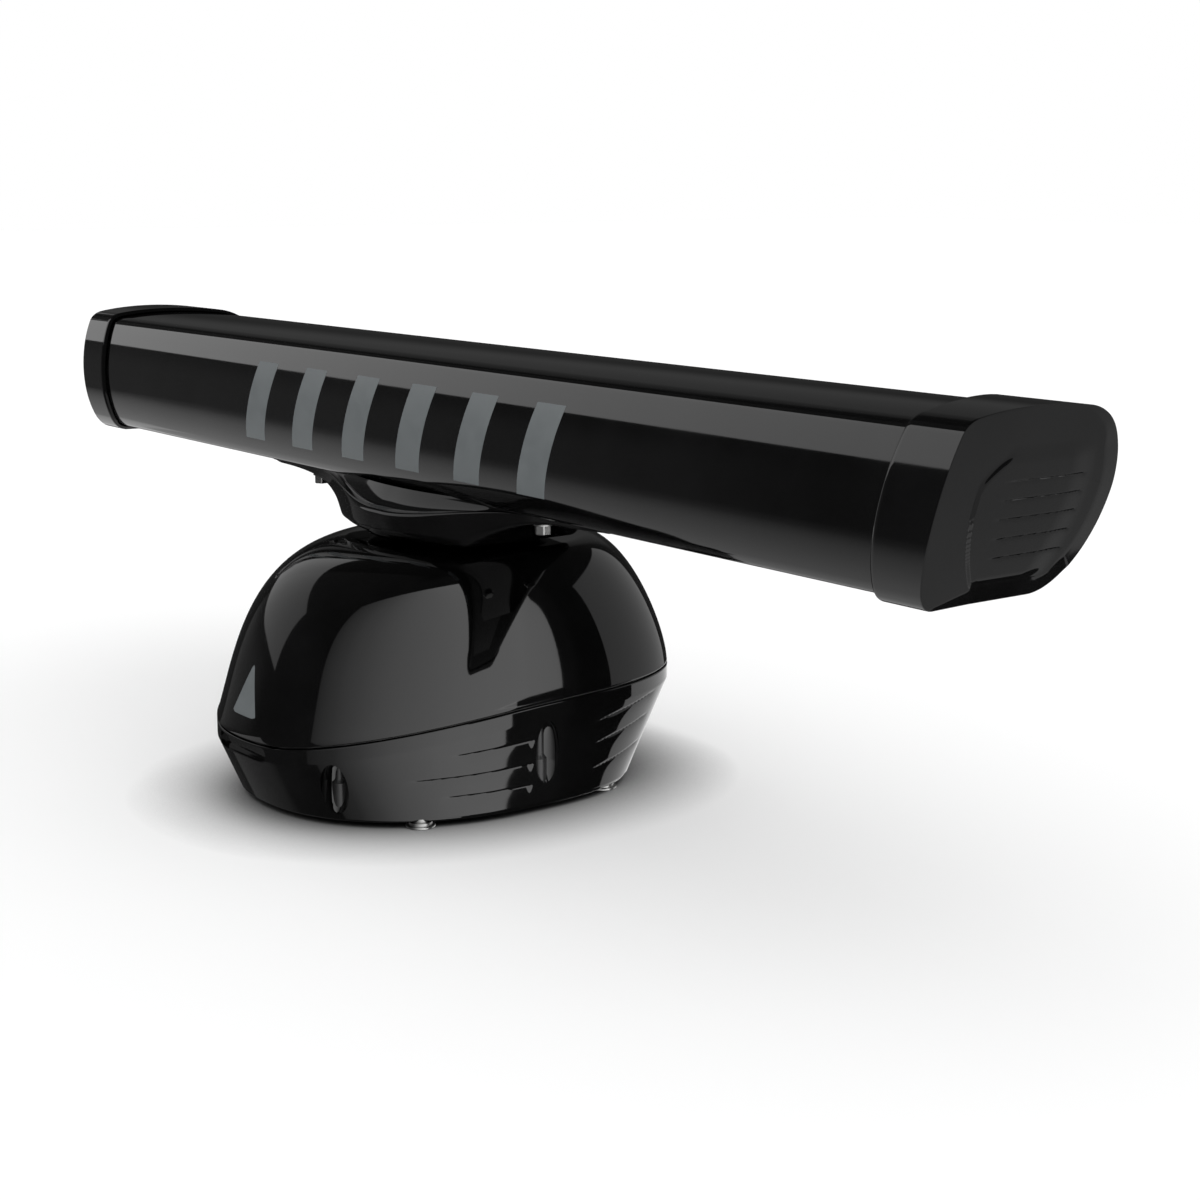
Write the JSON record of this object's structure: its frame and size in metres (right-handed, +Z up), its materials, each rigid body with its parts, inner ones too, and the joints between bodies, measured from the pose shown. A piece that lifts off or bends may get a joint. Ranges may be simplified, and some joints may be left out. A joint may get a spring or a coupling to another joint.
{
  "type": "open array radar scanner",
  "caption": "Marine radar scanner: a long enclosed bar antenna that turns on a domed pedestal with its drive, bearings and feed inside.",
  "frame": {"origin": "under the middle of the whole scanner, on the plane of its four feet", "axes": "+Z up along the spin axis, +X along the bar at rest, -Y towards the bow"},
  "size_m": [1.3804, 0.43, 0.4049],
  "materials": {
    "gloss_black_plastic": "high gloss black moulding",
    "gloss_black_paint": "gloss black paint on cast aluminium",
    "seal_rubber": "matte",
    "matte_black_plastic": "fine satin moulding",
    "machined_steel": "turned stainless steel",
    "bare_aluminium": "bare",
    "feed_brass": "machined",
    "circuit_board": "solder mask",
    "pale_foam": "closed-cell foam",
    "marking_grey": "satin grey print"
  },
  "bodies": {
    "pedestal": {"base_housing": "gloss_black_paint", "top_cover": "gloss_black_plastic", "cover_gasket": "seal_rubber", "cover_screw_1": "matte_black_plastic", "cover_screw_2": "matte_black_plastic", "cover_screw_3": "matte_black_plastic", "cover_screw_4": "matte_black_plastic", "mount_foot_1": "machined_steel", "mount_foot_2": "machined_steel", "mount_foot_3": "machined_steel", "mount_foot_4": "machined_steel", "power_socket": "matte_black_plastic", "network_socket": "matte_black_plastic", "breather_vent": "matte_black_plastic", "chassis_plate": "bare_aluminium", "chassis_post_1": "bare_aluminium", "chassis_post_2": "bare_aluminium", "chassis_post_3": "bare_aluminium", "chassis_post_4": "bare_aluminium", "bearing_tower": "bare_aluminium", "upper_bearing_outer_race": "machined_steel", "upper_bearing_balls": "machined_steel", "lower_bearing_outer_race": "machined_steel", "lower_bearing_balls": "machined_steel", "shaft_seal": "seal_rubber", "drive_motor": "machined_steel", "transceiver_module": "bare_aluminium", "power_board": "circuit_board", "control_board": "circuit_board", "rotary_joint_stator": "feed_brass"},
    "antenna": {"array_tube": "gloss_black_plastic", "end_cap_right": "gloss_black_plastic", "cap_gasket_right": "seal_rubber", "foam_rib_right": "pale_foam", "guide_load_right": "matte_black_plastic", "end_cap_left": "gloss_black_plastic", "cap_gasket_left": "seal_rubber", "foam_rib_left": "pale_foam", "guide_load_left": "matte_black_plastic", "slotted_waveguide": "bare_aluminium", "flared_horn": "bare_aluminium", "feed_coupler": "feed_brass", "feed_pipe": "feed_brass", "mounting_rail": "bare_aluminium", "array_bracket": "gloss_black_paint", "bracket_bolt_1": "machined_steel", "bracket_bolt_2": "machined_steel", "bracket_bolt_3": "machined_steel", "bracket_bolt_4": "machined_steel", "drive_shaft": "machined_steel", "shaft_nut": "machined_steel", "driven_gear": "machined_steel", "upper_bearing_inner_race": "machined_steel", "lower_bearing_inner_race": "machined_steel", "rotary_joint_rotor": "feed_brass"},
    "pinion": {"motor_pinion": "machined_steel"}
  },
  "joints": [
    {"name": "antenna_spin", "type": "hinge", "parent": "pedestal", "child": "antenna", "pos_m": [0, 0.018, 0], "axis": [0, 0, 1], "continuous": true},
    {"name": "pinion_spin", "type": "hinge", "parent": "pedestal", "child": "pinion", "pos_m": [0, -0.0684, 0], "axis": [0, 0, 1], "continuous": true}
  ],
  "couplings": [
    {"joint": "pinion_spin", "follows": "antenna_spin", "ratio": -5}
  ]
}
